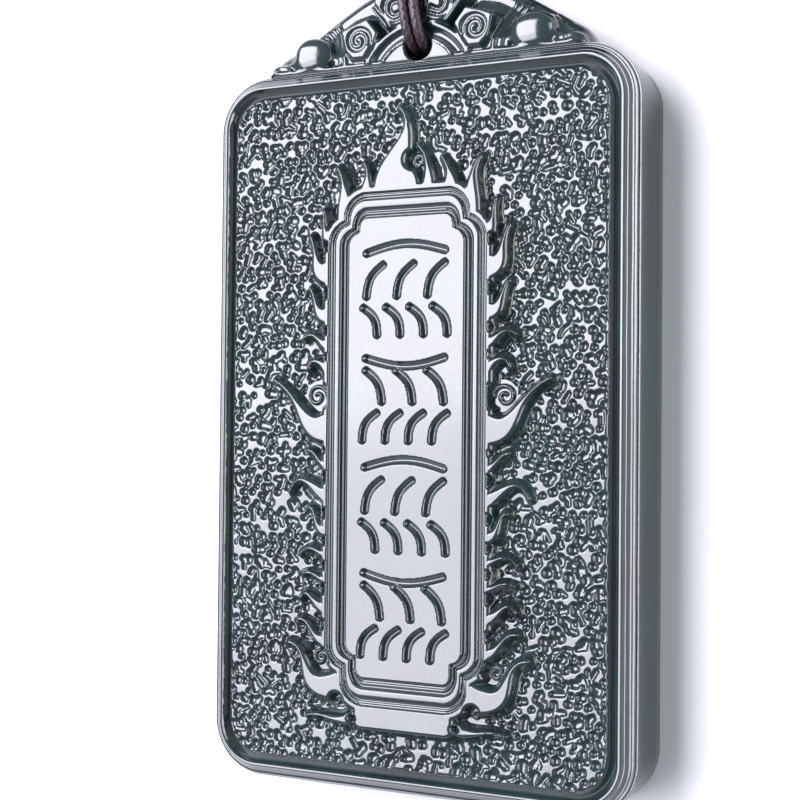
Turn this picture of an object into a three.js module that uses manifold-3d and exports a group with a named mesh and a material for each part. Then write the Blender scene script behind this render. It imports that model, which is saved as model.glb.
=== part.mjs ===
// A jade tablet pendant carved on one face, lying on its back with its cord drawn out beyond the crest.
// Millimetres: X across the tablet, Y towards the crest, Z out of the carved face.
import * as THREE from "three";
import { mergeVertices } from "three/addons/utils/BufferGeometryUtils.js";
import Module from "manifold-3d";

const wasm = await Module();
wasm.setup();

// Tablet
const TABLET_WIDTH = 40;
const TABLET_HEIGHT = 63.6;
const THICKNESS = 8; // from the back to the ridge of the rim
const CORNER_RADIUS = 4.9;
const INNER_CORNER_RADIUS = 3.2;
const BACK_CHAMFER = 0.3;
const BEVEL_WIDTH = 1.29;
const BEVEL_DROP = 1.26;
const BEVEL_BULGE = 0.07; // how far the bevel's middle stands out of a straight slope
const GUTTER_WALL = 0.54; // from the ridge to the bottom of the gutter
const GUTTER_WIDTH = 0.7; // from the bottom of the gutter to the pitted ground
const GUTTER_DEPTH = 0.7;
const CORNER_STEPS = 6;

// Raised relief: flames, frame and panel stand above the ground, which is level with the rim's ridge
const RELIEF = 0.96;
const SLOPE = 0.66; // width of a flame's rounded side
const SINK = 0.3; // how far an added solid reaches into what carries it

// Frame round the panel: two overlapping rounded rectangles, the upright one narrower, at both edges
const PANEL = {
  half: 5.48, radius: 1.25, top: 16.76, bottom: -19.95,
  innerHalf: 4.42, innerRadius: 0.8, innerTop: 17.99, innerBottom: -21.76,
};
const FRAME = {
  half: 7.41, radius: 2.1, top: 17.95, bottom: -21.2,
  innerHalf: 5.9, innerRadius: 2.1, innerTop: 20.22, innerBottom: -24.14,
};
const COLLAR_WIDTH = 0.9; // level band outside the frame, which the flames grow from
const GROOVE_DEPTH = 0.34;
const BEAD_HEIGHT = 0.08;
const ARC_STEPS = 3;
const KINK_START = 4; // degrees, where the frame's inner arc leaves its kink

// Flames: a curve's four control points, and half the width at its root and at its round tip.
// Those of one side are mirrored on the other.
const SIDE_FLAMES = [
  { curve: [[5.5, 17.8], [6.3, 19.6], [5.7, 21.2], [6.75, 22.6]], root: 1.6, tip: 0.5 },
  { curve: [[7.3, 15.9], [8.1, 16.8], [7.9, 17.8], [8.15, 19.0]], root: 1.1, tip: 0.45 },
  { curve: [[7.4, 13.4], [9.2, 13.2], [8.5, 15.2], [9.4, 16.7]], root: 1.5, tip: 0.5 },
  { curve: [[7.4, 9.7], [8.9, 9.3], [8.6, 11.2], [9.4, 12.1]], root: 1.2, tip: 0.5 },
  { curve: [[7.4, 7.0], [8.4, 7.0], [8.8, 8.6], [10.0, 7.7]], root: 0.95, tip: 0.45 },
  { curve: [[7.3, 4.2], [7.8, 5.6], [9.2, 6.2], [9.5, 5.0]], root: 0.95, tip: 0.5 },
  { curve: [[7.4, -0.2], [10.2, -0.9], [9.9, 2.6], [13.0, 4.0]], root: 1.75, tip: 0.45 },
  { curve: [[7.3, -3.6], [8.3, -3.6], [8.6, -2.2], [9.5, -2.2]], root: 0.85, tip: 0.45 },
  { curve: [[7.4, -6.3], [9.0, -5.6], [10.2, -3.6], [11.3, -5.9]], root: 1.05, tip: 0.45 },
  { curve: [[7.4, -9.3], [8.9, -9.2], [8.4, -7.4], [9.3, -7.2]], root: 0.95, tip: 0.45 },
  { curve: [[7.4, -11.4], [8.4, -11.2], [9.2, -10.2], [10.2, -11.4]], root: 0.8, tip: 0.4 },
  { curve: [[7.4, -13.5], [8.3, -13.6], [8.8, -12.6], [10.0, -13.1]], root: 0.8, tip: 0.4 },
  { curve: [[7.4, -16.1], [8.9, -15.8], [9.3, -13.9], [10.1, -15.3]], root: 0.95, tip: 0.45 },
  { curve: [[7.4, -18.9], [8.9, -18.9], [8.9, -16.9], [10.3, -17.1]], root: 0.95, tip: 0.45 },
  { curve: [[6.2, -22.6], [10.6, -23.8], [8.6, -19.4], [11.2, -19.2]], root: 1.6, tip: 0.5 },
  { curve: [[5.2, -25.4], [6.5, -25.9], [7.8, -24.9], [9.4, -25.5]], root: 0.9, tip: 0.4 },
];
const TOP_FLAMES = [
  { curve: [[-1.0, 20.5], [-1.8, 22.8], [1.3, 25.2], [-0.75, 27.4]], root: 2.6, tip: 0.5 },
  { curve: [[2.0, 20.2], [2.2, 21.8], [1.9, 23.0], [1.0, 24.0]], root: 1.1, tip: 0.45 },
  { curve: [[4.1, 19.8], [4.2, 21.2], [3.9, 22.0], [3.2, 22.9]], root: 1.3, tip: 0.45 },
  { curve: [[-3.9, 19.8], [-3.8, 21.2], [-3.5, 22.0], [-4.2, 22.9]], root: 1.2, tip: 0.45 },
];
const FLAME_STEPS = 5;
const CROWN_SHARE = 0.2; // least share of a flame's width that stays on its crown
// Curled hollows between the roots of one side's flames: centre and radius
const HOLLOWS = [
  [7.55, 17.6, 0.5], [8.0, 15.7, 0.75], [7.9, 11.6, 0.8], [7.8, 8.3, 0.6], [7.6, 6.0, 0.5],
  [8.7, 2.55, 1.65], [8.0, -2.2, 0.55], [7.85, -4.55, 0.8], [7.8, -7.7, 0.7], [7.75, -10.1, 0.65],
  [7.7, -12.3, 0.6], [7.9, -14.3, 0.75], [8.1, -17.4, 0.8], [8.1, -20.4, 1.25], [6.4, -23.9, 0.95],
  [4.85, -25.3, 0.6],
];
const TOP_HOLLOW = [0.65, 22.85, 1.2];
const HOLLOW_SIDES = 8;
const HOLLOW_FLOOR = 0.15; // above the ground
const BASE_BAR = { halfWidth: 4.4, top: -24.0, bottom: -25.9 };

// Plain strokes on the panel, in groups of a wave over two rows
const STROKE_GROUPS = [11.6, 2.5, -6.9, -16.0];
const STROKE_HALF_WIDTH = 0.34;
const STROKE_DEPTH = 0.4;
const WAVE = { rise: 3.3, half: 3.7, bend: 0.7 };
const STROKE_ROWS = [
  { rise: 0.9, length: 3.1, lean: 0.5, places: [-2.9, 0, 2.9] },
  { rise: -2.6, length: 2.7, lean: -0.5, places: [-3.3, -1.1, 1.1, 3.3] },
];
const STROKE_BEND = 0.45;
const STROKE_STEPS = 3;

// Crest, pierced for the cord
const CREST_BACK = 2.4;
const CREST_FACE = 7.1;
const CREST_SHOULDER = 5.9; // where the lobed face meets the plainer slab behind it
const CREST_CHAMFER = 0.8;
const CREST_TOP = 40.2;
const SLAB_BASE = [15.9, 29.2];
const SLAB_EDGE = [[15.8, 31.6], [15.0, 33.3], [12.8, 34.8], [9.5, 36.9], [5.2, 39.1], [0, 40.2]];
const SLAB_STEPS = 12;
const FACE_ARCS = [
  { centre: [13.9, 31.8], radius: 1.35, from: -35, to: 112, steps: 5 },
  { centre: [10.45, 33.5], radius: 2.1, from: -2, to: 100, steps: 6 },
  { centre: [8.35, 35.65], radius: 1.15, from: 6, to: 78, steps: 3 },
];
const FACE_TOP = [[2.6, 39.3], [1.4, 39.8], [0, 39.95]];
const BOSS = { centre: [10.6, 33.4], radii: [2.1, 2.1, 0.95], level: 6.3 };
const CURL = { centre: [13.8, 31.9], radii: [1.4, 1.2, 0.9], level: 6.1 };
const BALL_SEGMENTS = [12, 8];
const CREST_RELIEF = 0.35;
const STRAPS = [
  [[7.0, 32.4], [8.2, 36.2]], [[7.6, 32.2], [8.9, 36.0]], [[8.2, 32.2], [9.3, 35.5]],
  [[3.1, 34.9], [4.9, 37.2]], [[8.0, 36.35], [3.0, 38.7]],
];
const STRAP_WIDTH = 0.32;
const SPIRAL_WIDTH = 0.29;
const ARCH_CENTRE_Y = 29.8;
const ARCHES = [5.2, 3.85];
const ARCH_BASE_Y = 31.6;
const ARCH_STEPS = 12;
const SPIRAL = { centre: [5.6, 34.1], inner: 0.25, outer: 1.2, turns: 1.75, steps: 18 };

// Hole through the crest
const HOLE_Y = 33.1;
const HOLE_RADIUS = 1.3;
const HOLE_SIDES = 16;
const MOUTH_RADIUS = 1.75;
const MOUTH_DEPTH = 1.2;

// Cord: two strands through the hole into a knot, and a long loop wound up beside it
const CORD_DIAMETER = 1;
const CORD_SIDES = 8;
const STRAND_STEPS = 24;
const LEAD_STEPS = 5;
const STRAND_SHIFT = 0.56;
const KNOT = { centre: [0.4, 46.0, 1.55], radii: [1.9, 1.7, 1.5], gap: 0.3 };
const STRAND_PATH = [
  [0, 44.1, 1.7], [-0.05, 43.2, 2.7], [-0.2, 42.0, 4.7], [-0.35, 40.8, 6.6], [-0.45, 39.5, 7.8],
  [-0.4, 38.0, 8.15], [-0.3, 36.4, 8.2], [-0.1, 35.0, 8.1], [0, 33.95, 7.65], [0, 33.3, 6.8],
  [0, 33.1, 5.6], [0, 33.1, 4.0], [0, 33.3, 2.5], [0, 34.0, 1.35], [0, 35.1, 0.75],
  [0, 36.6, 0.6], [0.1, 38.6, 0.6], [0.2, 40.6, 0.6], [0.3, 42.4, 0.65], [0.35, 44.05, 0.75],
];
const COIL = { centre: [11.3, 48.0], radius: 6, halfWidth: 2.1, height: 4.2, sides: 20 };
const LEAD_OUT = [[1.3, 47.9, 0.9], [1.6, 48.9, 0.6], [2.1, 50.1, 0.55], [3.1, 51.8, 0.55]];
const LEAD_BACK = [[2.3, 44.5, 1.5], [3.1, 43.7, 1.8], [4.0, 42.8, 2.4], [5.3, 41.9, 3.0]];

const JADE = new THREE.MeshStandardMaterial({ color: 0x16241f, roughness: 0.12, metalness: 0 });
const BRAID = new THREE.MeshStandardMaterial({ color: 0x2a1a20, roughness: 0.7, metalness: 0 });

// Solids and outlines

function toSolid(geometry) {
  geometry.deleteAttribute("normal");
  geometry.deleteAttribute("uv");
  const merged = mergeVertices(geometry, 1e-4);
  return new wasm.Manifold(
    new wasm.Mesh({
      numProp: 3,
      vertProperties: merged.attributes.position.array,
      triVerts: new Uint32Array(merged.index.array),
    }),
  );
}

function toGeometry(solid) {
  const mesh = solid.getMesh();
  const geometry = new THREE.BufferGeometry();
  geometry.setAttribute("position", new THREE.BufferAttribute(mesh.vertProperties, 3));
  geometry.setIndex(new THREE.BufferAttribute(mesh.triVerts, 1));
  geometry.computeVertexNormals();
  return geometry;
}

// A closed solid through rings of equal length, each anticlockwise from above, capped at both ends.
function loft(rings) {
  const count = rings[0].length;
  const positions = rings.flat().flatMap((p) => [p[0], p[1], p[2]]);
  const index = [];
  for (let r = 0; r < rings.length - 1; r++)
    for (let i = 0; i < count; i++) {
      const j = (i + 1) % count;
      const [a, b] = [r * count + i, r * count + j];
      index.push(a, b, b + count, a, b + count, a + count);
    }
  const cap = (ring, start, upwards) => {
    const outline = ring.map((p) => new THREE.Vector2(p[0], p[1]));
    for (const [a, b, c] of THREE.ShapeUtils.triangulateShape(outline, []))
      index.push(start + a, start + (upwards ? b : c), start + (upwards ? c : b));
  };
  cap(rings[0], 0, false);
  cap(rings[rings.length - 1], (rings.length - 1) * count, true);
  const geometry = new THREE.BufferGeometry();
  geometry.setAttribute("position", new THREE.BufferAttribute(new Float32Array(positions), 3));
  geometry.setIndex(index);
  return toSolid(geometry);
}

const atHeight = (outline, z) => outline.map(([x, y]) => [x, y, z]);
const mirrored = (outline) => outline.map(([x, y, ...z]) => [-x, y, ...z]).reverse();
const prism = (outline, low, high) => loft([atHeight(outline, low), atHeight(outline, high)]);

function arc([x, y], radius, from, to, steps) {
  return Array.from({ length: steps + 1 }, (_, i) => {
    const angle = THREE.MathUtils.degToRad(from + ((to - from) * i) / steps);
    return [x + radius * Math.cos(angle), y + radius * Math.sin(angle)];
  });
}

// The outline of the whole, from the points of its right half, which run up from the base.
const bothSides = (half) => {
  const onAxis = Math.abs(half[half.length - 1][0]) < 1e-6;
  const left = half.slice(0, onAxis ? -1 : undefined).map(([x, y]) => [-x, y]);
  return [...half, ...left.reverse()];
};

// An outline moved inwards, its corners kept sharp.
function inset(outline, distance) {
  const count = outline.length;
  const normal = ([ax, ay], [bx, by]) => {
    const length = Math.hypot(bx - ax, by - ay);
    return [(ay - by) / length, (bx - ax) / length];
  };
  return outline.map(([x, y], i) => {
    const before = normal(outline[(i + count - 1) % count], [x, y]);
    const after = normal([x, y], outline[(i + 1) % count]);
    const scale = distance / (1 + before[0] * after[0] + before[1] * after[1]);
    return [x + (before[0] + after[0]) * scale, y + (before[1] + after[1]) * scale];
  });
}

function bezier(points, t) {
  const s = 1 - t;
  const weights = [s * s * s, 3 * s * s * t, 3 * s * t * t, t * t * t];
  return [0, 1].map((axis) => weights.reduce((sum, w, i) => sum + w * points[i][axis], 0));
}

// Tablet

function tabletRing(insetBy, z) {
  const radius = Math.max(CORNER_RADIUS - insetBy, INNER_CORNER_RADIUS);
  const x = TABLET_WIDTH / 2 - insetBy - radius;
  const y = TABLET_HEIGHT / 2 - insetBy - radius;
  const corners = [[x, -y, -90], [x, y, 0], [-x, y, 90], [-x, -y, 180]];
  const outline = corners.flatMap(([cx, cy, from]) =>
    arc([cx, cy], radius, from, from + 90, CORNER_STEPS),
  );
  return atHeight(outline, z);
}

function tablet() {
  const foot = BEVEL_WIDTH + GUTTER_WALL;
  return loft([
    tabletRing(BACK_CHAMFER, 0),
    tabletRing(0, BACK_CHAMFER),
    tabletRing(0, THICKNESS - BEVEL_DROP),
    tabletRing(BEVEL_WIDTH / 2 - BEVEL_BULGE, THICKNESS - BEVEL_DROP / 2 + BEVEL_BULGE),
    tabletRing(BEVEL_WIDTH, THICKNESS),
    tabletRing(foot, THICKNESS - GUTTER_DEPTH),
    tabletRing(foot + GUTTER_WIDTH, THICKNESS),
  ]);
}

// Frame and panel

// The frame's outline at a share of the way from the panel's edge (0) to the frame's outer edge (1).
function frameOutline(share, grow = 0) {
  const at = Object.fromEntries(
    Object.keys(PANEL).map((key) => [key, THREE.MathUtils.lerp(PANEL[key], FRAME[key], share)]),
  );
  const corner = (top, innerTop) => {
    const radius = at.radius + grow;
    const innerRadius = at.innerRadius + grow;
    const half = at.half + grow;
    const innerHalf = at.innerHalf + grow;
    const arcX = half - radius;
    const arcY = top + grow - radius;
    const kink = THREE.MathUtils.radToDeg(Math.acos((innerHalf - arcX) / radius));
    const innerCentre = [innerHalf - innerRadius, innerTop + grow - innerRadius];
    return [
      ...arc([arcX, arcY], radius, 0, kink, ARC_STEPS),
      ...arc(innerCentre, innerRadius, KINK_START, 90, ARC_STEPS),
    ];
  };
  const upper = corner(at.top, at.innerTop);
  const lower = corner(-at.bottom, -at.innerBottom).map(([x, y]) => [x, -y]).reverse();
  const right = [...lower, ...upper];
  return [...right, ...right.map(([x, y]) => [-x, y]).reverse()];
}

function frame() {
  const top = THICKNESS + RELIEF;
  const groove = top - GROOVE_DEPTH;
  const bead = top + BEAD_HEIGHT;
  const rings = [
    [1, COLLAR_WIDTH + SLOPE, THICKNESS - SINK],
    [1, COLLAR_WIDTH + SLOPE, THICKNESS],
    [1, COLLAR_WIDTH, top],
    [1, 0, top],
    [0.84, 0, groove],
    [0.68, 0, top - BEAD_HEIGHT],
    [0.48, 0, bead],
    [0.3, 0, top - BEAD_HEIGHT],
    [0.15, 0, groove],
    [0, 0, top],
  ];
  return loft(rings.map(([share, grow, z]) => atHeight(frameOutline(share, grow), z)));
}

// Flames

// One tongue of flame: a band along a curve, narrowing to a round tip, with sides sloping to the ground.
function flame({ curve, root, tip }, side = 1) {
  const normal = ([ax, ay], [bx, by]) => {
    const length = Math.hypot(bx - ax, by - ay);
    return [(ay - by) / length, (bx - ax) / length];
  };
  const [atRoot, atTip] = [normal(curve[0], curve[1]), normal(curve[2], curve[3])];
  const waist = (root + 2 * tip) / 3;
  const offsets = [[atRoot, root], [atRoot, waist], [atTip, tip], [atTip, tip]].map(([way, reach]) =>
    way.map((v) => v * reach),
  );
  const stations = Array.from({ length: FLAME_STEPS + 1 }, (_, i) => {
    const t = i / FLAME_STEPS;
    const [x, y] = bezier(curve, t);
    const [nx, ny] = bezier(offsets, t);
    const half = Math.hypot(nx, ny);
    return { x, y, nx: nx / half, ny: ny / half, half };
  });
  const crownHalf = (half) => Math.max(half - SLOPE, half * CROWN_SHARE);
  const edge = (direction, halfWidth, height) =>
    stations.map(({ x, y, nx, ny, half }) => {
      const out = direction * halfWidth(half);
      return [x + nx * out, y + ny * out, height(half)];
    });
  const beyond = (reach, z) => [curve[3][0] + atTip[1] * reach, curve[3][1] - atTip[0] * reach, z];
  const outline = (halfWidth, height) => [
    ...edge(-1, halfWidth, height),
    beyond(halfWidth(tip), height(tip)),
    ...edge(1, halfWidth, height).reverse(),
  ];
  const level = (z) => () => z;
  const whole = (half) => half;
  const crownLevel = (half) => THICKNESS + RELIEF * Math.min(1, half / SLOPE);
  const rings = [
    outline(whole, level(THICKNESS - SINK)),
    outline(whole, level(THICKNESS)),
    outline(crownHalf, crownLevel),
  ];
  return loft(side > 0 ? rings : rings.map(mirrored));
}

const flames = () => [
  ...SIDE_FLAMES.map((spec) => flame(spec, 1)),
  ...SIDE_FLAMES.map((spec) => flame(spec, -1)),
  ...TOP_FLAMES.map((spec) => flame(spec)),
];

function hollows() {
  const low = THICKNESS + HOLLOW_FLOOR;
  const high = THICKNESS + RELIEF + SINK;
  const outline = ([x, y, radius]) =>
    arc([x, y], radius, 0, 360 - 360 / HOLLOW_SIDES, HOLLOW_SIDES - 1);
  const paired = HOLLOWS.map(outline);
  return [...paired, ...paired.map(mirrored), outline(TOP_HOLLOW)].map((o) => prism(o, low, high));
}

function baseBar() {
  const { halfWidth, top, bottom } = BASE_BAR;
  const outline = (x, y) => [[x, y], [x, top], [-x, top], [-x, y]];
  return loft([
    atHeight(outline(halfWidth + SLOPE, bottom - SLOPE), THICKNESS - SINK),
    atHeight(outline(halfWidth + SLOPE, bottom - SLOPE), THICKNESS),
    atHeight(outline(halfWidth, bottom), THICKNESS + RELIEF),
  ]);
}

// Strokes

// The outline of a round-ended stroke along a shallow bow between two points.
function strokeOutline([ax, ay], [bx, by], bend) {
  const length = Math.hypot(bx - ax, by - ay);
  const [tx, ty] = [(bx - ax) / length, (by - ay) / length];
  const sides = [1, -1].map((side) =>
    Array.from({ length: STROKE_STEPS + 1 }, (_, i) => {
      const along = (length * i) / STROKE_STEPS;
      const across = bend * Math.sin((Math.PI * i) / STROKE_STEPS) - side * STROKE_HALF_WIDTH;
      return [ax + tx * along - ty * across, ay + ty * along + tx * across];
    }),
  );
  const end = [bx + tx * STROKE_HALF_WIDTH, by + ty * STROKE_HALF_WIDTH];
  const start = [ax - tx * STROKE_HALF_WIDTH, ay - ty * STROKE_HALF_WIDTH];
  return [...sides[0], end, ...sides[1].reverse(), start];
}

function strokes() {
  const low = THICKNESS + RELIEF - STROKE_DEPTH;
  const high = THICKNESS + RELIEF + SINK;
  return STROKE_GROUPS.flatMap((middle, group) => {
    const sign = group % 2 ? -1 : 1;
    const y = middle + WAVE.rise;
    const outlines = [strokeOutline([-WAVE.half, y], [WAVE.half, y], sign * WAVE.bend)];
    for (const { rise, length, lean, places } of STROKE_ROWS)
      for (const x of places) {
        const [dx, dy] = [(sign * lean * length) / 2, (length / 2) * Math.sqrt(1 - lean * lean)];
        const centre = [x, middle + rise];
        outlines.push(
          strokeOutline(
            [centre[0] - dx, centre[1] - dy],
            [centre[0] + dx, centre[1] + dy],
            sign * Math.sign(lean) * STROKE_BEND,
          ),
        );
      }
    return outlines.map((outline) => prism(outline, low, high));
  });
}

// Crest

function slab() {
  const edge = new THREE.SplineCurve(SLAB_EDGE.map(([x, y]) => new THREE.Vector2(x, y)));
  const outline = bothSides([SLAB_BASE, ...edge.getPoints(SLAB_STEPS).map(({ x, y }) => [x, y])]);
  return loft([
    atHeight(inset(outline, CREST_CHAMFER), CREST_BACK),
    atHeight(outline, CREST_BACK + CREST_CHAMFER),
    atHeight(outline, CREST_SHOULDER - CREST_CHAMFER),
    atHeight(inset(outline, CREST_CHAMFER), CREST_SHOULDER),
  ]);
}

function face() {
  const base = [14.9, TABLET_HEIGHT / 2 - BEVEL_WIDTH];
  const arcs = FACE_ARCS.flatMap(({ centre, radius, from, to, steps }) =>
    arc(centre, radius, from, to, steps),
  );
  const outline = bothSides([base, ...arcs, ...FACE_TOP]);
  return loft([
    atHeight(outline, CREST_SHOULDER - SINK - CREST_CHAMFER),
    atHeight(outline, CREST_FACE - CREST_RELIEF),
    atHeight(inset(outline, CREST_RELIEF), CREST_FACE),
  ]);
}

function boss({ centre, radii, level }, side) {
  const geometry = new THREE.SphereGeometry(1, ...BALL_SEGMENTS);
  geometry.scale(...radii);
  geometry.translate(side * centre[0], centre[1], level);
  return toSolid(geometry);
}

function strap([[ax, ay], [bx, by]]) {
  const length = Math.hypot(bx - ax, by - ay);
  const [nx, ny] = [((by - ay) / length) * STRAP_WIDTH, ((ax - bx) / length) * STRAP_WIDTH];
  return [[ax, ay], [ax + nx, ay + ny], [bx + nx, by + ny], [bx, by]];
}

function archOutline(radius) {
  const outer = radius + STRAP_WIDTH / 2;
  const inner = radius - STRAP_WIDTH / 2;
  const reach = (r) => THREE.MathUtils.radToDeg(Math.asin((ARCH_BASE_Y - ARCH_CENTRE_Y) / r));
  const centre = [0, ARCH_CENTRE_Y];
  return [
    ...arc(centre, outer, reach(outer), 180 - reach(outer), ARCH_STEPS),
    ...arc(centre, inner, 180 - reach(inner), reach(inner), ARCH_STEPS),
  ];
}

function spiralOutline() {
  const { centre, inner, outer, turns, steps } = SPIRAL;
  const line = (shift) =>
    Array.from({ length: steps + 1 }, (_, i) => {
      const angle = -Math.PI / 2 + (2 * Math.PI * turns * i) / steps;
      const radius = THREE.MathUtils.lerp(inner, outer, i / steps) + shift;
      return [centre[0] + radius * Math.cos(angle), centre[1] + radius * Math.sin(angle)];
    });
  const half = SPIRAL_WIDTH / 2;
  return [...line(half), ...line(-half).reverse()];
}

function crestRelief() {
  const raise = (outline) => prism(outline, CREST_FACE - SINK, CREST_FACE + CREST_RELIEF);
  const paired = [...STRAPS.map(strap), spiralOutline()];
  const outlines = [...paired, ...paired.map(mirrored), ...ARCHES.map(archOutline)];
  return outlines.map((outline) => {
    const area = THREE.ShapeUtils.area(outline.map(([x, y]) => new THREE.Vector2(x, y)));
    return raise(area > 0 ? outline : outline.reverse());
  });
}

function hole() {
  const ring = (radius, z) =>
    atHeight(arc([0, HOLE_Y], radius, 0, 360 - 360 / HOLE_SIDES, HOLE_SIDES - 1), z);
  return loft([
    ring(HOLE_RADIUS, CREST_BACK - SINK),
    ring(HOLE_RADIUS, CREST_FACE - MOUTH_DEPTH),
    ring(MOUTH_RADIUS, CREST_FACE + CREST_RELIEF + SINK),
  ]);
}

function pendant() {
  const added = [slab(), face(), ...crestRelief(), frame(), baseBar(), ...flames()];
  for (const shape of [BOSS, CURL]) added.push(boss(shape, 1), boss(shape, -1));
  const removed = [hole(), ...hollows(), ...strokes()];
  const whole = added.reduce((solid, next) => solid.add(next), tablet());
  return toGeometry(removed.reduce((solid, next) => solid.subtract(next), whole));
}

// Cord

function tube(points, steps) {
  const path = new THREE.CatmullRomCurve3(points.map((p) => new THREE.Vector3(...p)));
  const section = new THREE.Shape(
    arc([0, 0], CORD_DIAMETER / 2, 0, 360 - 360 / CORD_SIDES, CORD_SIDES - 1).map(
      ([x, y]) => new THREE.Vector2(x, y),
    ),
  );
  return new THREE.ExtrudeGeometry(section, { steps, extrudePath: path, bevelEnabled: false });
}

const strand = (side) => tube(STRAND_PATH.map(([x, y, z]) => [x + side * STRAND_SHIFT, y, z]), STRAND_STEPS);

function knot() {
  const geometry = new THREE.SphereGeometry(1, ...BALL_SEGMENTS);
  geometry.rotateX(Math.PI / 2);
  geometry.scale(...KNOT.radii);
  geometry.translate(...KNOT.centre);
  return geometry;
}

function coil() {
  const { centre, radius, halfWidth, height, sides } = COIL;
  const cut = CORD_DIAMETER / 2;
  const [near, far] = [radius - halfWidth, radius + halfWidth];
  const profile = [
    [near + cut, 0], [far - cut, 0], [far, cut], [far, height - cut],
    [far - cut, height], [near + cut, height], [near, height - cut], [near, cut], [near + cut, 0],
  ];
  const geometry = new THREE.LatheGeometry(profile.map((p) => new THREE.Vector2(...p)), sides);
  geometry.rotateX(Math.PI / 2);
  geometry.translate(centre[0], centre[1], 0);
  return geometry;
}

// Assembly: the origin is under the middle of the jade, on the surface it lies on
const pendantGroup = new THREE.Group();
pendantGroup.position.y = -(CREST_TOP - TABLET_HEIGHT / 2) / 2;

function addPiece(name, geometry, material) {
  const mesh = new THREE.Mesh(geometry, material);
  mesh.name = name;
  pendantGroup.add(mesh);
}

addPiece("jade_pendant", pendant(), JADE);
addPiece("cord_strand_left", strand(-1), BRAID);
addPiece("cord_strand_right", strand(1), BRAID);
addPiece("cord_knot", knot(), BRAID);
addPiece("cord_lead_out", tube(LEAD_OUT, LEAD_STEPS), BRAID);
addPiece("cord_coil", coil(), BRAID);
addPiece("cord_lead_back", tube(LEAD_BACK, LEAD_STEPS), BRAID);

const root = new THREE.Group();
root.add(pendantGroup);
export default root;
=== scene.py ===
from math import pi, radians

import bpy
import numpy as np
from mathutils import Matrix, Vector


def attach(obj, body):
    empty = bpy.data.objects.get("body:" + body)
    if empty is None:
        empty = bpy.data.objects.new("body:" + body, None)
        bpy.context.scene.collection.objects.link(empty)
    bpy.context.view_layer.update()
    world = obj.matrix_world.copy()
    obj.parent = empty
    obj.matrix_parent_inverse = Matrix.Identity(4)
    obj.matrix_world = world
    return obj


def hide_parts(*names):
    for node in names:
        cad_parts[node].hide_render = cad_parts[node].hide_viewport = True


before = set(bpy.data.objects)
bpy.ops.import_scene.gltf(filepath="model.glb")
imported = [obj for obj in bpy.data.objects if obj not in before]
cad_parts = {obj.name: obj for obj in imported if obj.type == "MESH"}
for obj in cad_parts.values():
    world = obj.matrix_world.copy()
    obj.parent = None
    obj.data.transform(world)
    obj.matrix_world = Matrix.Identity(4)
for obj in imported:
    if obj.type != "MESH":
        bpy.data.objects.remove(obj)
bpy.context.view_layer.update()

# Lengths are in millimetres until a mesh is made. X runs across the tablet, Y towards the crest
# from the middle of the tablet, and Z out of the carved face, from the surface it lies on.
MM = 0.001
MIDDLE_Y = -4.2  # where the tablet's middle lies in the frame, whose origin is the jade's own middle

TABLET_WIDTH, TABLET_HEIGHT, THICKNESS = 40.0, 63.6, 8.0
CORNER_RADIUS, INNER_CORNER_RADIUS = 4.9, 3.4
RELIEF = 0.96  # the flames, frame and panel stand this far above the ground
SLOPE = 0.66  # width of a flame's rounded side
GUTTER_DEPTH, GUTTER_SLOPE, GUTTER_FLAT, GUTTER_WALL = 0.7, 0.6, 0.07, 1.5
GUTTER_X, GUTTER_Y = 18.17, 29.97  # bottom of the gutter
RNG_SEED = 11


# Camera and light

LENS, SENSOR_WIDTH = 63, 36
CAMERA_AT = (51.17, -0.11, 108.82)  # from the middle of the carved face
CAMERA_TURN = (1.117, 25.544, 0.528)  # degrees
SKY, SKY_STRENGTH = (0.78, 0.85, 1.0), 0.5
PEARL = (1.0, 0.975, 1.08)
SOFTBOXES = [  # name, lean and tilt in degrees, distance, width and height in metres, watts, colour
    ("main softbox", 30, 12, 0.6, 0.44, 0.7, 10.6, PEARL),
    ("crest softbox", 30, 24, 0.62, 0.44, 0.5, 2.8, PEARL),
    ("right strip", -64, 4, 0.6, 0.17, 0.8, 1.3, (0.95, 1.0, 1.0)),
    ("low right strip", -79, 4, 0.6, 0.105, 0.8, 2.8, (0.97, 1.0, 1.0)),
]


def set_camera():
    """The photograph's view: from the right of the tablet, looking down at its carved face."""
    data = bpy.data.cameras.new("camera")
    data.lens = LENS
    data.sensor_width = SENSOR_WIDTH
    data.clip_start = 0.005
    camera = bpy.data.objects.new("camera", data)
    bpy.context.scene.collection.objects.link(camera)
    x, y, z = CAMERA_AT
    camera.location = (x * MM, (y + MIDDLE_Y) * MM, (z + THICKNESS) * MM)
    camera.rotation_mode = "ZXY"
    camera.rotation_euler = [radians(angle) for angle in CAMERA_TURN]
    bpy.context.scene.camera = camera


def add_softbox(name, lean, tilt, distance, width, height, watts, colour):
    """A rectangular lamp aimed at the tablet, leaning from straight above to the left and to the crest."""
    data = bpy.data.lights.new(name, "AREA")
    data.shape = "RECTANGLE"
    data.size = width
    data.size_y = height
    data.energy = watts
    data.color = colour
    lamp = bpy.data.objects.new(name, data)
    bpy.context.scene.collection.objects.link(lamp)
    lamp.rotation_mode = "YXZ"
    lamp.rotation_euler = (radians(-tilt), radians(-lean), 0)
    bpy.context.view_layer.update()
    lamp.location = lamp.rotation_euler.to_matrix() @ Vector((0, 0, distance))


def set_light():
    scene = bpy.context.scene
    scene.view_settings.view_transform = "Standard"
    world = bpy.data.worlds.new("studio")
    scene.world = world
    world.use_nodes = True
    background = world.node_tree.nodes["Background"]
    background.inputs["Color"].default_value = (*SKY, 1)
    background.inputs["Strength"].default_value = SKY_STRENGTH
    for softbox in SOFTBOXES:
        add_softbox(*softbox)


# Meshes


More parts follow.
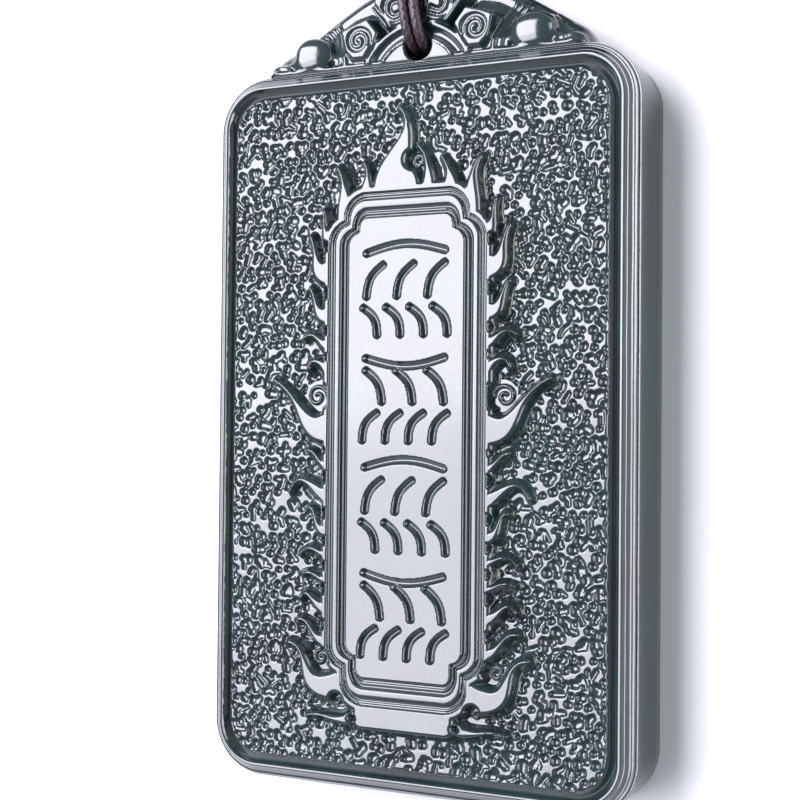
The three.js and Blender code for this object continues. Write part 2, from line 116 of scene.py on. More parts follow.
def link_piece(name, mesh, material, *nodes, slot):
    piece = bpy.data.objects.new(name, mesh)
    bpy.context.scene.collection.objects.link(piece)
    mesh.materials.append(material)
    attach(piece, "root")
    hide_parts(*nodes)
    return piece


def mesh_from(name, points, quads, rings=(), sharp=None, normals=None):
    """A mesh of points in millimetres, four-sided faces, and larger faces given as rings of points."""
    points = np.asarray(points, dtype=float) * MM
    points[:, 1] += MIDDLE_Y * MM
    mesh = bpy.data.meshes.new(name)
    loops = np.concatenate([np.asarray(quads).ravel(), *[np.asarray(ring) for ring in rings]])
    totals = np.concatenate([np.full(len(quads), 4), [len(ring) for ring in rings]]).astype(np.int32)
    starts = np.concatenate([[0], np.cumsum(totals)[:-1]]).astype(np.int32)
    mesh.vertices.add(len(points))
    mesh.vertices.foreach_set("co", points.astype(np.float32).ravel())
    mesh.loops.add(len(loops))
    mesh.loops.foreach_set("vertex_index", loops.astype(np.int32))
    mesh.polygons.add(len(totals))
    mesh.polygons.foreach_set("loop_start", starts)
    mesh.polygons.foreach_set("loop_total", totals)
    mesh.update(calc_edges=True)
    mesh.shade_smooth()
    if sharp is not None:
        mesh.set_sharp_from_angle(angle=radians(sharp))
    if normals is not None:
        mesh.normals_split_custom_set_from_vertices(normals)
    return mesh


def ring_quads(count, rings):
    """Faces between successive rings of points, each ring a closed loop."""
    first = np.arange(rings - 1)[:, None] * count
    along = np.arange(count)[None, :]
    after = (along + 1) % count
    up = first + count
    return np.stack([first + along, first + after, up + after, up + along], -1).reshape(-1, 4)


# Distances and curves

FAR = 9.0  # further than any distance that counts


def rounded_box_distance(x, y, half, top, bottom, radius):
    middle, reach = (top + bottom) / 2, (top - bottom) / 2
    qx = np.abs(x) - (half - radius)
    qy = np.abs(y - middle) - (reach - radius)
    outside = np.hypot(np.maximum(qx, 0), np.maximum(qy, 0))
    return outside + np.minimum(np.maximum(qx, qy), 0) - radius


def bezier(points, count):
    t = np.linspace(0, 1, count)[:, None]
    a, b, c, d = (np.array(p, dtype=float) for p in points)
    return (1 - t) ** 3 * a + 3 * (1 - t) ** 2 * t * b + 3 * (1 - t) * t**2 * c + t**3 * d


def window(xs, ys, low, high):
    """The part of a grid that a box covers, as two slices."""
    i = np.searchsorted(xs, [low[0], high[0]])
    j = np.searchsorted(ys, [low[1], high[1]])
    return slice(j[0], j[1]), slice(i[0], i[1])


def lay_stroke(distance, xs, ys, line, half_widths, reach):
    """Lowers a grid of distances to that from a stroke: a line of points, each with its half width."""
    low, high = line.min(0) - reach, line.max(0) + reach
    rows, columns = window(xs, ys, low, high)
    if rows.stop <= rows.start or columns.stop <= columns.start:
        return
    x, y = np.meshgrid(xs[columns], ys[rows])
    nearest = distance[rows, columns]
    for (px, py), half in zip(line, half_widths):
        np.minimum(nearest, np.hypot(x - px, y - py) - half, out=nearest)


def ease(t):
    t = np.clip(t, 0, 1)
    return t * t * (3 - 2 * t)


def fade(distance, gap, width):
    """Nothing up to the gap, and one from a width beyond it."""
    return ease((distance - gap) / width)


# Frame, flames and ground: the height of the carved face above the rim's ridge

PANEL_EDGES = [(5.48, 16.76, -19.95, 1.25), (4.42, 17.99, -21.76, 0.8)]
FRAME_EDGES = [(7.41, 17.95, -21.2, 2.1), (5.9, 20.22, -24.14, 2.1)]
COLLAR = 0.3

# Each flame: the four control points of its curve, and half its width at the root and at the tip.
SIDE_FLAMES = [
    ((5.5, 17.8), (6.3, 19.6), (5.7, 21.2), (6.75, 22.6), 1.6, 0.5),
    ((7.3, 15.9), (8.1, 16.8), (7.9, 17.8), (8.15, 19.0), 1.1, 0.45),
    ((7.4, 13.4), (9.2, 13.2), (8.5, 15.2), (9.4, 16.7), 1.5, 0.5),
    ((7.4, 9.7), (8.9, 9.3), (8.6, 11.2), (9.4, 12.1), 1.2, 0.5),
    ((7.4, 7.0), (8.4, 7.0), (8.8, 8.6), (10.0, 7.7), 0.95, 0.45),
    ((7.3, 4.2), (7.8, 5.6), (9.2, 6.2), (9.5, 5.0), 0.95, 0.5),
    ((7.4, -0.2), (10.2, -0.9), (9.9, 2.6), (13.0, 4.0), 1.75, 0.45),
    ((7.3, -3.6), (8.3, -3.6), (8.6, -2.2), (9.5, -2.2), 0.85, 0.45),
    ((7.4, -6.3), (9.0, -5.6), (10.2, -3.6), (11.3, -5.9), 1.05, 0.45),
    ((7.4, -9.3), (8.9, -9.2), (8.4, -7.4), (9.3, -7.2), 0.95, 0.45),
    ((7.4, -11.4), (8.4, -11.2), (9.2, -10.2), (10.2, -11.4), 0.8, 0.4),
    ((7.4, -13.5), (8.3, -13.6), (8.8, -12.6), (10.0, -13.1), 0.8, 0.4),
    ((7.4, -16.1), (8.9, -15.8), (9.3, -13.9), (10.1, -15.3), 0.95, 0.45),
    ((7.4, -18.9), (8.9, -18.9), (8.9, -16.9), (10.3, -17.1), 0.95, 0.45),
    ((6.2, -22.6), (10.6, -23.8), (8.6, -19.4), (11.2, -19.2), 1.6, 0.5),
    ((5.2, -25.4), (6.5, -25.9), (7.8, -24.9), (9.4, -25.5), 0.9, 0.4),
]
TOP_FLAMES = [
    ((-1.0, 20.5), (-1.8, 22.8), (1.3, 25.2), (-0.75, 27.4), 2.6, 0.5),
    ((2.0, 20.2), (2.2, 21.8), (1.9, 23.0), (1.0, 24.0), 1.1, 0.45),
    ((4.1, 19.8), (4.2, 21.2), (3.9, 22.0), (3.2, 22.9), 1.3, 0.45),
    ((-3.9, 19.8), (-3.8, 21.2), (-3.5, 22.0), (-4.2, 22.9), 1.2, 0.45),
]
HOLLOWS = [  # centre and radius
    (7.55, 17.6, 0.5), (8.0, 15.7, 0.75), (7.9, 11.6, 0.8), (7.8, 8.3, 0.6), (7.6, 6.0, 0.5),
    (8.7, 2.55, 1.65), (8.0, -2.2, 0.55), (7.85, -4.55, 0.8), (7.8, -7.7, 0.7), (7.75, -10.1, 0.65),
    (7.7, -12.3, 0.6), (7.9, -14.3, 0.75), (8.1, -17.4, 0.8), (8.1, -20.4, 1.25), (6.4, -23.9, 0.95),
    (4.85, -25.3, 0.6),
]
TOP_HOLLOW = (0.65, 22.85, 1.2)
BASE_BAR = (4.4, -23.5, -25.9, 0.5)
FLAME_TAPER = 1.6
FRAME_SIDE_STEEPNESS = 1.3  # of the frame's own side, where a hollow cuts into the collar
CURL_HALF_WIDTH, CURL_HEIGHT, CURL_TURNS = 0.2, 0.24, 1.35  # the small curls in the hollows
CURL_RADII = (0.12, 0.62)  # of the hollow's radius
# Where the pits fade in: how far from each of these, and over how wide a strip.
FADE_HOLLOWS, FADE_FLAMES, FADE_GUTTER = (-0.25, 0.2), (0.1, 0.15), (0.45, 0.2)


def flame_curves():
    """Each flame's curve with its half widths, on both sides."""
    found = list(TOP_FLAMES)
    for side in (1, -1):
        for *curve, root, tip in SIDE_FLAMES:
            found.append((*[(side * x, y) for x, y in curve], root, tip))
    return found


def all_hollows():
    mirrored = [(-x, y, radius) for x, y, radius in HOLLOWS]
    return [*HOLLOWS, *mirrored, TOP_HOLLOW]


def frame_distance(x, y, edges):
    return np.minimum(*[rounded_box_distance(x, y, *edge) for edge in edges])


def flame_distance(xs, ys, outside_frame):
    """Distance outwards from the level tops of the flames and of the collar round the frame."""
    distance = outside_frame - COLLAR
    x, y = np.meshgrid(xs, ys)
    np.minimum(distance, rounded_box_distance(x, y, *BASE_BAR), out=distance)
    for *curve, root, tip in flame_curves():
        line = bezier(curve, 140)
        t = np.linspace(0, 1, len(line))
        half = tip + (root - tip) * (1 - t) ** FLAME_TAPER - SLOPE
        lay_stroke(distance, xs, ys, line, half, 1 + root)
    for cx, cy, radius in all_hollows():
        rows, columns = window(xs, ys, (cx - 2, cy - 2), (cx + 2, cy + 2))
        gap = radius - np.hypot(x[rows, columns] - cx, y[rows, columns] - cy)
        distance[rows, columns] = np.maximum(distance[rows, columns], gap)
    return np.minimum(distance, outside_frame * FRAME_SIDE_STEEPNESS)


def hollow_curls(xs, ys):
    """Small raised curls in the flames' hollows, and the share of the pits' depth kept round them."""
    x, y = np.meshgrid(xs, ys)
    away = np.full_like(x, FAR)
    kept = np.ones_like(x)
    turn = np.linspace(0, 2 * pi * CURL_TURNS, 80)
    for cx, cy, radius in all_hollows():
        side = -1 if cx < 0 else 1
        reach = radius * np.linspace(*CURL_RADII, len(turn))
        across = side * (CURL_RADII[0] * radius + reach * np.cos(turn + 1))
        curl = np.stack([cx + across, cy + reach * np.sin(turn + 1)], -1)
        lay_stroke(away, xs, ys, curl, np.zeros(len(curl)), 0.4)
        kept *= fade(np.hypot(x - cx, y - cy) - radius, *FADE_HOLLOWS)
    return CURL_HEIGHT * ease(1 - away / CURL_HALF_WIDTH), kept


PIT_SPACING, ROW_SHARE = 0.86, 0.866  # the rows stand this share of the spacing apart
PIT_DEPTH, PIT_RADIUS, PIT_GROWTH = 0.32, 0.4, 0.6  # a pit's depth at this radius, and how it grows
PITS_FROM, PITS_REACH = (-18.3, -30.0), (37, 60)  # the corner they start in, and how far they run
PIT_JITTER = 0.22
ROUND_RADII, CHANNEL_RADII, CHANNEL_LENGTHS = (0.28, 0.49), (0.2, 0.26), (0.5, 1.1)
OVAL_LENGTHS = (-0.6, 0.45)  # how far a pit is drawn out, where below zero is round
CHANNEL_SHARE, LEFT_OUT_SHARE = 0.16, 0.07
PIT_FLATNESS = 2.9  # a higher power gives a flatter floor and steeper sides


def pit_depths(xs, ys):
    """Drilled pits and short channels, run together so that little of the level ground is left."""
    rng = np.random.default_rng(RNG_SEED)
    deepest = np.zeros((len(ys), len(xs)))
    x, y = np.meshgrid(xs, ys)
    row_gap = PIT_SPACING * ROW_SHARE
    for row in range(int(PITS_REACH[1] / row_gap) + 1):
        for column in range(int(PITS_REACH[0] / PIT_SPACING) + 1):
            jitter = rng.uniform(-PIT_JITTER, PIT_JITTER, 2)
            cx = PITS_FROM[0] + (column + row % 2 / 2) * PIT_SPACING + jitter[0]
            cy = PITS_FROM[1] + row * row_gap + jitter[1]
            slender = rng.uniform() < CHANNEL_SHARE
            radius = rng.uniform(*CHANNEL_RADII) if slender else rng.uniform(*ROUND_RADII)
            way = rng.uniform(0, 2 * pi)
            length = rng.uniform(*CHANNEL_LENGTHS) if slender else max(0, rng.uniform(*OVAL_LENGTHS))
            depth = PIT_DEPTH * (radius / PIT_RADIUS) ** PIT_GROWTH
            if rng.uniform() < LEFT_OUT_SHARE:
                continue
            ends = np.array([(cx, cy), (cx + length * np.cos(way), cy + length * np.sin(way))])
            rows, columns = window(xs, ys, ends.min(0) - radius, ends.max(0) + radius)
            px, py = x[rows, columns] - cx, y[rows, columns] - cy
            along = np.clip(px * np.cos(way) + py * np.sin(way), 0, length)
            away = np.hypot(px - along * np.cos(way), py - along * np.sin(way)) / radius
            pit = depth * (1 - np.clip(away, 0, 1) ** PIT_FLATNESS)
            deepest[rows, columns] = np.maximum(deepest[rows, columns], pit)
    return soften(deepest)


def soften(heights):
    """Heights averaged a little with their neighbours, which rounds the sharp creases."""
    for axis in (0, 1):
        before, after = np.roll(heights, 1, axis), np.roll(heights, -1, axis)
        heights = (before + 2 * heights + after) / 4
    return heights


FRAME_SECTION = [  # across the frame from the panel's edge at 0 to the flames' edge at 1, and the drop
    (0, 0), (0.05, 0.25), (0.09, 0.3), (0.14, 0.2), (0.175, 0.05), (0.21, 0.2), (0.27, 0.36), (0.33, 0.3),
    (0.38, 0.06), (0.42, 0.0), (0.56, -0.03), (0.68, 0.0), (0.72, 0.08), (0.78, 0.3), (0.83, 0.2),
    (0.87, 0.05), (0.91, 0.2), (0.95, 0.28), (1, 0),
]


def frame_drop(share):
    """The frame's section: a round bead between pairs of fine grooves."""
    at, drop = zip(*FRAME_SECTION)
    return np.interp(share, at, drop)


STROKE_GROUPS = (11.6, 2.5, -6.9, -16.0)
STROKE_ROWS = [  # height in the group, length, lean, places across
    (0.9, 3.1, 0.5, (-2.9, 0, 2.9)),
    (-2.6, 2.7, -0.5, (-3.3, -1.1, 1.1, 3.3)),
]
STROKE_HALF_WIDTH, STROKE_DEPTH, STROKE_BEND = 0.36, 0.42, 0.45
WAVE_RISE, WAVE_HALF, WAVE_BEND = 3.3, 3.7, 0.7


def bowed_line(start, end, bend, count=100):
    start, end = np.array(start, dtype=float), np.array(end, dtype=float)
    t = np.linspace(0, 1, count)[:, None]
    along = end - start
    across = np.array([-along[1], along[0]]) / np.hypot(*along)
    return start + along * t + across * bend * np.sin(pi * t)


def stroke_lines():
    """Plain curved strokes in the panel's four groups."""
    lines = []
    for group, middle in enumerate(STROKE_GROUPS):
        sign = -1 if group % 2 else 1
        y = middle + WAVE_RISE
        lines.append(bowed_line((-WAVE_HALF, y), (WAVE_HALF, y), sign * WAVE_BEND, 240))
        for rise, length, lean, places in STROKE_ROWS:
            dx, dy = sign * lean * length / 2, length / 2 * np.sqrt(1 - lean * lean)
            for x in places:
                y = middle + rise
                bend = sign * np.sign(lean) * STROKE_BEND
                lines.append(bowed_line((x - dx, y - dy), (x + dx, y + dy), bend))
    return lines


def stroke_depths(xs, ys):
    distance = np.full((len(ys), len(xs)), FAR)
    for line in stroke_lines():
        lay_stroke(distance, xs, ys, line, np.zeros(len(line)), 1)
    return STROKE_DEPTH * (1 - np.clip(distance / STROKE_HALF_WIDTH, 0, 1) ** 1.5)


def carved_heights(xs, ys):
    x, y = np.meshgrid(xs, ys)
    inward = -rounded_box_distance(x, y, GUTTER_X, GUTTER_Y, -GUTTER_Y, INNER_CORNER_RADIUS)
    rise = ease((inward - GUTTER_FLAT) / GUTTER_SLOPE)
    wall = GUTTER_WALL * inward - GUTTER_DEPTH
    ground = np.where(inward > 0, -GUTTER_DEPTH * (1 - rise), wall)
    outside_frame = frame_distance(x, y, FRAME_EDGES)
    outside_panel = frame_distance(x, y, PANEL_EDGES)
    flames = flame_distance(xs, ys, outside_frame)
    curls, kept = hollow_curls(xs, ys)
    kept *= fade(flames - SLOPE, *FADE_FLAMES) * fade(inward, *FADE_GUTTER)
    heights = ground - pit_depths(xs, ys) * kept
    heights += np.maximum(RELIEF * np.cos(pi / 2 * np.clip(flames / SLOPE, 0, 1)), curls * (flames > 0))
    share = outside_panel / np.maximum(outside_panel - outside_frame, 1e-6)
    heights = np.where(outside_frame < 0, RELIEF - frame_drop(share), heights)
    return np.where(outside_panel < 0, RELIEF - stroke_depths(xs, ys), heights)


FACE_X, FACE_Y = 18.35, 30.15
FACE_STEP = 0.092
FACE_FLOOR = -1.6  # the carved slabs' flat undersides, buried in the tablet


def grid_quads(wide, high):
    index = np.arange(wide * high).reshape(high, wide)
    return np.stack([index[:-1, :-1], index[:-1, 1:], index[1:, 1:], index[1:, :-1]], -1).reshape(-1, 4)


def carved_slab(name, xs, ys, heights, material):
    """A closed slab with the carved heights on top and a flat underside."""
    x, y = np.meshgrid(xs, ys)
    slope_y, slope_x = np.gradient(heights, ys, xs)
    normals = np.stack([-slope_x, -slope_y, np.ones_like(x)], -1).reshape(-1, 3)
    normals /= np.linalg.norm(normals, axis=1, keepdims=True)
    top = np.stack([x, y, THICKNESS + heights], -1).reshape(-1, 3)
    index = np.arange(x.size).reshape(x.shape)
    edge = np.concatenate([index[0, :-1], index[:-1, -1], index[-1, :0:-1], index[:0:-1, 0]])
    under = top[edge].copy()
    under[:, 2] = THICKNESS + FACE_FLOOR
    below = len(top) + np.arange(len(edge))
    walls = np.stack([edge, below, np.roll(below, -1), np.roll(edge, -1)], -1)
    points = np.concatenate([top, under])
    facing = np.concatenate([normals, np.tile([0.0, 0.0, -1.0], (len(edge), 1))])
    quads = np.concatenate([grid_quads(len(xs), len(ys)), walls])
    mesh = mesh_from(name, points, quads, [below[::-1]], normals=facing)
    link_piece(name, mesh, material, "jade_pendant", slot="jade")


def make_carved_face(material):
    """The carved face, in four slabs that meet without a step."""
    xs = np.linspace(-FACE_X, FACE_X, 2 * round(FACE_X / FACE_STEP) + 1)
    ys = np.linspace(-FACE_Y, FACE_Y, 2 * round(FACE_Y / FACE_STEP) + 1)
    heights = carved_heights(xs, ys)
    halfway_x, halfway_y = len(xs) // 2, len(ys) // 2
    for rows, level in ((slice(0, halfway_y + 1), "lower"), (slice(halfway_y, None), "upper")):
        for columns, side in ((slice(0, halfway_x + 1), "left"), (slice(halfway_x, None), "right")):
            name = f"jade_face_{level}_{side}"
            carved_slab(name, xs[columns], ys[rows], heights[rows, columns], material)


# Tablet and rim

# The rim's section: inwards from the edge on the tablet's right side, the same on its other sides,
# down from the ridge, and which of the hand-cut steps it belongs to.
BEVEL = [
    (0.0, 0.0, 1.6, 0), (0.0, 0.0, 1.36, 0), (0.02, 0.02, 1.31, 0), (0.14, 0.04, 1.31, 0),
    (0.24, 0.3, 0.9, 1), (0.4, 0.32, 0.9, 1), (0.47, 0.48, 0.76, 2), (0.6, 0.5, 0.76, 2),
    (0.83, 0.85, 0.35, 3), (0.91, 0.87, 0.35, 3),
    (1.03, 1.09, 0.08, 0), (1.06, 1.14, 0.01, 0), (1.09, 1.18, 0.0, 0), (1.3, 1.27, 0.0, 0),
    (1.34, 1.32, 0.02, 0), (1.41, 1.41, 0.12, 0), (1.54, 1.54, 0.42, 0), (1.7, 1.7, 0.64, 0),
    (1.8, 1.8, 0.72, 0), (2.1, 2.1, 1.2, 0),
]
HAND_CUT_STEPS = 3
WANDER, WANDER_WAVES = 0.012, (7, 13, 22, 37)  # how far the steps stray, and how often round the rim
BACK = [(0.16, 0.0), (0.08, 0.015), (0.03, 0.06), (0.0, 0.16)]
WALL_RINGS = np.linspace(1.5, THICKNESS - 2, 8)
CORNER_POINTS, SIDE_POINTS = 40, 120


def tablet_outline(inset):
    """Points round the tablet, the same number at every inset."""
    radius = max(CORNER_RADIUS - inset, 0.72 * CORNER_RADIUS - 0.1 * inset)
    x, y = TABLET_WIDTH / 2 - inset - radius, TABLET_HEIGHT / 2 - inset - radius
    points = []
    for cx, cy, start in ((x, -y, -90), (x, y, 0), (-x, y, 90), (-x, -y, 180)):
        angles = np.radians(np.linspace(start, start + 90, CORNER_POINTS))
        points.append(np.stack([cx + radius * np.cos(angles), cy + radius * np.sin(angles)], -1))
    outline = []
    for corner, after in zip(points, points[1:] + points[:1]):
        run = np.linspace(corner[-1], after[0], SIDE_POINTS)[1:-1]
        outline += [corner, run]
    return np.concatenate(outline)


def make_tablet(material):
    section = [(inset, inset, z, 0) for inset, z in BACK]
    section += [(0.0, 0.0, z, 0) for z in WALL_RINGS]
    section += [(right, others, THICKNESS - down, step) for right, others, down, step in BEVEL]
    facing_right = np.clip((tablet_outline(0) - tablet_outline(0.5))[:, :1] / 0.5, 0, 1)
    around = np.linspace(0, 2 * pi, len(tablet_outline(0)), endpoint=False)
    rng = np.random.default_rng(RNG_SEED)
    drifts = [np.zeros(len(around))]
    for _ in range(HAND_CUT_STEPS):
        waves = [np.sin(n * around + rng.uniform(0, 2 * pi)) for n in WANDER_WAVES]
        drifts.append(WANDER * sum(waves) / 2)
    rings = []
    for right, others, z, step in section:
        outline, inner = tablet_outline(others), tablet_outline(others + 0.5)
        inwards = (inner - outline) * 2
        outline = outline + inwards * (drifts[step][:, None] + (right - others) * facing_right)
        rings.append(np.column_stack([outline, z + drifts[step]]))
    count = len(rings[0])
    points = np.concatenate(rings)
    quads = ring_quads(count, len(rings))
    caps = [np.arange(count)[::-1], np.arange(count) + count * (len(rings) - 1)]
    mesh = mesh_from("jade_tablet", points, quads, caps, sharp=42)
    link_piece("jade_tablet", mesh, material, "jade_pendant", slot="jade")


# Crest

CREST_BACK, CREST_FACE = 2.4, 7.1
CREST_BOX = (-16.6, 29.0, 1.9), (16.6, 41.0, 8.4)
CREST_SHIFT = 0.1  # its ornament's middle lies this far to the left
CREST_FOOT_Y = 29.6  # it starts inside the tablet
SLAB_TOP, SLAB_SLOPE = 5.9, 0.55  # the lower slab behind the crest's face, which falls towards its edge
SLAB_EDGE = [(15.8, 31.6), (15.0, 33.3), (12.8, 34.8), (9.5, 36.9), (5.2, 39.1), (0, 40.2)]
FACE_ARCS = [  # centre, radius, and the angles it runs between
    ((13.9, 31.8), 1.35, -35, 112),
    ((10.45, 33.5), 2.1, -2, 100),
    ((8.35, 35.65), 1.15, 6, 78),
]
FACE_TOP = [(2.6, 39.3), (1.4, 39.8), (0, 39.95)]
SLAB_FOOT_X, FACE_FOOT_X, FACE_UNDERSIDE = 15.9, 14.9, 4.6
SLAB_ROUNDING, FACE_ROUNDING = 1.2, 0.9
HOLE_Y, HOLE_RADIUS = 33.1, 1.2
FLARE, FLARE_HEIGHT = 0.35, 0.6  # how the hole widens at its two ends
CREST_STEP = 0.108


def smooth_line(points, step):
    """Points a step apart along a smooth curve through the given points."""
    points = np.array(points, dtype=float)
    gaps = np.sqrt(np.linalg.norm(np.diff(points, axis=0), axis=1))
    knots = np.concatenate([[0], np.cumsum(gaps)])
    slopes = np.gradient(points, knots, axis=0)
    fine = []
    for i in range(len(points) - 1):
        t = np.linspace(0, 1, 40, endpoint=False)[:, None]
        span = knots[i + 1] - knots[i]
        fine.append(
            (2 * t**3 - 3 * t**2 + 1) * points[i]
            + (t**3 - 2 * t**2 + t) * span * slopes[i]
            + (3 * t**2 - 2 * t**3) * points[i + 1]
            + (t**3 - t**2) * span * slopes[i + 1]
        )
    fine = np.concatenate([*fine, points[-1:]])
    travelled = np.concatenate([[0], np.cumsum(np.linalg.norm(np.diff(fine, axis=0), axis=1))])
    stops = np.linspace(0, travelled[-1], max(2, round(travelled[-1] / step) + 1))
    return np.stack([np.interp(stops, travelled, fine[:, axis]) for axis in range(points.shape[1])], -1)


def both_sides(half):
    half = np.array(half)
    left = half[:-1][::-1] * (-1, 1)
    return np.concatenate([half, left])


def arc(centre, radius, start, end, count=14):
    angles = np.radians(np.linspace(start, end, count))
    return np.stack([centre[0] + radius * np.cos(angles), centre[1] + radius * np.sin(angles)], -1)


def outline_distance(x, y, outline):
    """Signed distance to a closed outline, below zero inside."""
    shape = x.shape
    p = np.stack([x.ravel(), y.ravel()], -1)
    nearest = np.full(len(p), 1e9)
    inside = np.zeros(len(p), dtype=bool)
    for a, b in zip(outline, np.roll(outline, -1, axis=0)):
        along = b - a
        share = np.clip((p - a) @ along / max(along @ along, 1e-12), 0, 1)[:, None]
        nearest = np.minimum(nearest, np.linalg.norm(p - a - share * along, axis=1))
        crosses = (a[1] > p[:, 1]) != (b[1] > p[:, 1])
        if crosses.any():
            at = a[0] + (p[:, 1] - a[1]) / (b[1] - a[1] + 1e-12) * along[0]
            inside ^= crosses & (p[:, 0] < at)
    return np.where(inside, -nearest, nearest).reshape(shape)


def line_distance(x, y, line):
    nearest = np.full(x.shape, FAR)
    for px, py in line:
        np.minimum(nearest, np.hypot(x - px, y - py), out=nearest)
    return nearest


def bump(distance, half, height):
    """A rounded ridge's height, by the distance from its middle line."""
    return height * np.sqrt(np.clip(1 - (distance / half) ** 2, 0, 1))


def dome(x, y, centre, reach):
    """The square of a low oval dome's height, one in its middle and none outside it."""
    return np.clip(1 - ((x - centre[0]) / reach[0]) ** 2 - ((y - centre[1]) / reach[1]) ** 2, 0, 1)


# Heights are from the crest's level. A ridge or a groove is given by half its width and its height.
LEDGE_Y = 32.1  # top of the narrow ledge between the rim and the crest
LEDGE_LEVEL, LEDGE_RISE, LEDGE_DROP = -0.15, 0.9, 4
BAND_LEVEL, DEEPEST_BAND = -0.5, -2.2  # the band outside the plates, which falls outwards and upwards
BAND_CORNER, BAND_FALLS = (6.9, 33), (0.35, 0.42)
BOSS_CENTRE, BOSS_REACH, BOSS_FOOT, BOSS_RISE = (10.7, 33.4), (2.3, 1.75), -0.85, 0.95
BOSS_HOLLOW = 0.3  # how far the crest is cut away round the boss
LOBE_CENTRE, LOBE_REACH, LOBE_FOOT, LOBE_RISE = (13.6, 31.2), (3.2, 2.9), -1.6, 1.3
LOBE_FROM_X = 12.2
LOBE_RING_CENTRE, LOBE_RING_RADIUS, LOBE_RING = (14.15, 31.85), 0.33, (0.15, 0.2)
DISC_Y, DISC_RADIUS, DISC_LEVEL, DISC_SIDE = 29.8, 5.75, -0.25, 0.3  # the half disc round the hole
DISH_RADIUS, DISH_HALF_WIDTH, DISH_DEPTH = 4.62, 0.5, 0.35  # the hollow moulding on the disc
DISC_RIDGE_RADII, DISC_RIDGE = (4.05, 5.15, 5.48), (0.16, 0.16)
STRAP_RIDGE, CURL_RIDGE, GROOVE = (0.25, 0.3), (0.17, 0.2), (0.2, 0.26)
LINE_STEP = 0.05
SPIRAL_CENTRE, SPIRAL_RADII, SPIRAL_TURNS = (5.6, 34.1), (0.22, 1.2), 1.8
SPIRAL_PLATE = [(5.0, 32.6), (4.2, 33.7), (3.6, 34.6), (4.7, 36.0), (7.3, 35.1), (6.75, 33.3), (6.1, 32.6)]
KEY_PLATE = [(0.9, 35.4), (2.9, 35.0), (4.5, 36.9), (3.3, 38.7), (0.9, 39.3)]
PLATE_LEVELS = ((SPIRAL_PLATE, 0.15), (KEY_PLATE, 0.0))
PLATE_EDGE, PLATE_SIDE = -0.35, 0.4
STRAP_RIDGES = [
    [(7.15, 31.6), (7.2, 32.8), (7.55, 34.0), (8.05, 35.2), (8.7, 36.2)],
    [(7.7, 31.6), (7.75, 32.8), (8.1, 34.0), (8.6, 35.2), (9.3, 36.1)],
    [(8.25, 31.6), (8.3, 32.8), (8.65, 33.9), (9.1, 35.0), (9.85, 35.9)],
]
CURL_RIDGES = [
    [(12.6, 31.6), (12.65, 32.4), (12.9, 32.95), (13.4, 33.2)],
    [(13.2, 32.6), (14.0, 32.75), (14.9, 32.6), (15.6, 32.1)],
]
GROOVES = [
    [(3.1, 34.8), (4.0, 35.9), (4.9, 37.0), (5.6, 37.6)],
    [(2.6, 35.2), (3.5, 36.3), (4.4, 37.4), (5.0, 38.1)],
    [(8.2, 36.2), (7.0, 36.7), (5.0, 37.4), (2.6, 38.6), (0.6, 39.3)],
    [(1.2, 35.9), (2.3, 35.6), (3.1, 36.4), (3.0, 37.4), (1.9, 37.9), (1.2, 37.7)],
    [(1.3, 36.4), (2.2, 36.1), (2.6, 36.6), (2.3, 37.2), (1.6, 37.2)],
]


def spiral_line(count=140):
    angles = np.linspace(-pi / 2, -pi / 2 + 2 * pi * SPIRAL_TURNS, count)
    around = np.stack([np.cos(angles), np.sin(angles)], -1)
    return np.array(SPIRAL_CENTRE) + np.linspace(*SPIRAL_RADII, count)[:, None] * around


def crest_heights(x, y):
    """How far the crest's carved face stands above its level, worked on the right and mirrored."""
    x = np.abs(x + CREST_SHIFT)
    outwards, upwards = (np.maximum(at - start, 0) for at, start in zip((x, y), BAND_CORNER))
    band = BAND_LEVEL - BAND_FALLS[1] * upwards - BAND_FALLS[0] * outwards
    heights = np.maximum(band, DEEPEST_BAND)
    for plate, level in PLATE_LEVELS:
        inside = -outline_distance(x, y, np.array(plate))
        heights += (level - heights) * fade(inside, PLATE_EDGE, PLATE_SIDE)
    for line in STRAP_RIDGES:
        heights += bump(line_distance(x, y, smooth_line(line, LINE_STEP)), *STRAP_RIDGE)
    boss = dome(x, y, BOSS_CENTRE, BOSS_REACH)
    boss_heights = np.maximum(heights - BOSS_HOLLOW, BOSS_FOOT + BOSS_RISE * np.sqrt(boss))
    heights = np.where(boss > 0, boss_heights, heights)
    lobe = dome(x, y, LOBE_CENTRE, LOBE_REACH)
    heights = np.where((x > LOBE_FROM_X) & (boss == 0), LOBE_FOOT + LOBE_RISE * np.sqrt(lobe), heights)
    for line in CURL_RIDGES:
        heights += bump(line_distance(x, y, smooth_line(line, LINE_STEP)), *CURL_RIDGE)
    from_ring = np.hypot(x - LOBE_RING_CENTRE[0], y - LOBE_RING_CENTRE[1]) - LOBE_RING_RADIUS
    heights += bump(from_ring, *LOBE_RING)
    from_disc = np.hypot(x, y - DISC_Y)
    half_disc = ease((DISC_RADIUS - from_disc) / DISC_SIDE)
    heights += (DISC_LEVEL - heights) * half_disc
    dish = np.clip(1 - np.abs(from_disc - DISH_RADIUS) / DISH_HALF_WIDTH, 0, 1)
    heights = heights - DISH_DEPTH * np.sqrt(dish)
    for radius in DISC_RIDGE_RADII:
        heights += bump(from_disc - radius, *DISC_RIDGE)
    for line in [spiral_line(), *[smooth_line(groove, LINE_STEP) for groove in GROOVES]]:
        heights = heights - bump(line_distance(x, y, line), *GROOVE)
    above_rim = y - LEDGE_Y
    falling = LEDGE_LEVEL - LEDGE_DROP * above_rim
    ledge = np.where(above_rim < 0, LEDGE_LEVEL + LEDGE_RISE * above_rim, falling)
    heights = np.where(above_rim < 0, ledge, np.maximum(heights, ledge))
    return soften(heights)


